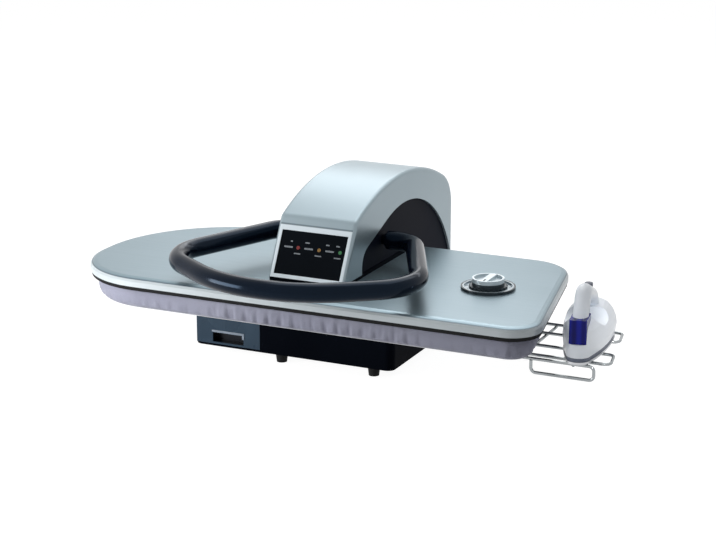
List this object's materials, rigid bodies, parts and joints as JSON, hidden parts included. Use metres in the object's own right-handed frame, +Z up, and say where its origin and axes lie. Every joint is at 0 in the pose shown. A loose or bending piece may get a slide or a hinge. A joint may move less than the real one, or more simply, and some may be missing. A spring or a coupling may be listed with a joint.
{
  "type": "steam ironing press",
  "caption": "Tabletop steam ironing press: padded board, heated platen on a hinged arched arm with loop handle, dial, water tank drawer, side wire rack holding a compact steam iron.",
  "frame": {"origin": "middle of the whole object's footprint, on the table under the feet", "axes": "+X along the board towards the wire rack, -Y towards the person who stands at the handle, +Z up"},
  "size_m": [0.7176, 0.4818, 0.211],
  "materials": {
    "silver_paint": "satin silver paint",
    "heater_alloy": "cast alloy",
    "plated_steel": "plated steel",
    "rack_chrome": "bright chrome wire",
    "brass": "turned brass",
    "dark_plastic": "fine-grained dark plastic",
    "gloss_black": "gloss black plastic",
    "recess_plastic": "dark blue-black plastic",
    "tank_plastic": "tinted grey-blue plastic",
    "pad_cloth": "lilac-grey cotton cover",
    "pad_foam": "open foam",
    "felt": "heat insulation",
    "rubber_black": "black rubber",
    "dial_silver": "silver plastic",
    "circuit": "circuit card",
    "lamp_red": "clear red",
    "lamp_amber": "clear amber",
    "lamp_green": "clear green",
    "iron_white": "gloss white plastic",
    "iron_blue": "deep blue plastic",
    "iron_grey": "grey plastic"
  },
  "bodies": {
    "base": {"base_tray": "dark_plastic", "feet": "rubber_black", "base_screws": "plated_steel", "chassis_plate": "plated_steel", "hinge_bracket_right": "plated_steel", "hinge_bracket_left": "plated_steel", "hinge_cover": "dark_plastic", "hinge_pin": "plated_steel", "pin_clips": "plated_steel", "lift_springs": "plated_steel", "pump": "dark_plastic", "water_hose": "rubber_black", "tank_socket": "dark_plastic", "control_board": "circuit", "power_inlet": "dark_plastic", "board_tray": "plated_steel", "foam_pad": "pad_foam", "pad_cover": "pad_cloth", "rack_rear_loop": "rack_chrome", "rack_front_loop": "rack_chrome", "rack_guard": "rack_chrome", "rack_cross_bars": "rack_chrome", "rack_clamps": "dark_plastic", "rack_screws": "plated_steel"},
    "upper": {"platen_cover": "silver_paint", "platen_trim": "rubber_black", "heating_plate": "heater_alloy", "heating_element": "plated_steel", "steam_chamber": "heater_alloy", "platen_spacers": "plated_steel", "insulation": "felt", "thermostat": "brass", "dial_scale": "dial_silver", "arm_cover": "silver_paint", "arm_side_right": "recess_plastic", "arm_side_left": "recess_plastic", "arm_pedestal": "dark_plastic", "arm_frame": "plated_steel", "hinge_bushes": "brass", "arm_bolts": "plated_steel", "steam_hose": "rubber_black", "handle_studs": "plated_steel", "panel_face": "gloss_black", "panel_board": "circuit", "lamp_red": "lamp_red", "lamp_amber": "lamp_amber", "lamp_green": "lamp_green"},
    "handle": {"handle_loop": "gloss_black"},
    "dial": {"dial_knob": "dial_silver"},
    "tank": {"tank_body": "tank_plastic", "tank_lid": "tank_plastic", "tank_front": "tank_plastic", "tank_valve": "brass"},
    "iron": {"iron_soleplate": "plated_steel", "iron_skirt": "iron_grey", "iron_body": "iron_white", "iron_tank": "iron_blue", "iron_handle": "iron_white"},
    "button": {"iron_button": "iron_grey"}
  },
  "joints": [
    {"name": "press_lift", "type": "hinge", "parent": "base", "child": "upper", "pos_m": [-0.03767, 0.21695, 0.072], "axis": [-1, 0, 0], "range_deg": [0, 55]},
    {"name": "handle_lift", "type": "hinge", "parent": "upper", "child": "handle", "pos_m": [-0.03767, 0.01695, 0.135], "axis": [-1, 0, 0], "range_deg": [0, 20]},
    {"name": "dial_turn", "type": "hinge", "parent": "upper", "child": "dial", "pos_m": [0.17333, -0.02505, 0.102], "axis": [0, 0, 1], "range_deg": [-270, 0]},
    {"name": "tank_slide", "type": "slide", "parent": "base", "child": "tank", "axis": [0, -1, 0], "range_m": [0, 0.12]},
    {"name": "iron_lift", "type": "slide", "parent": "base", "child": "iron", "axis": [0, 0, 1], "range_m": [0, 0.12]},
    {"name": "button_press", "type": "slide", "parent": "iron", "child": "button", "axis": [0, 0, -1], "range_m": [0, 0.0025], "stiffness_N_per_m": 400}
  ]
}
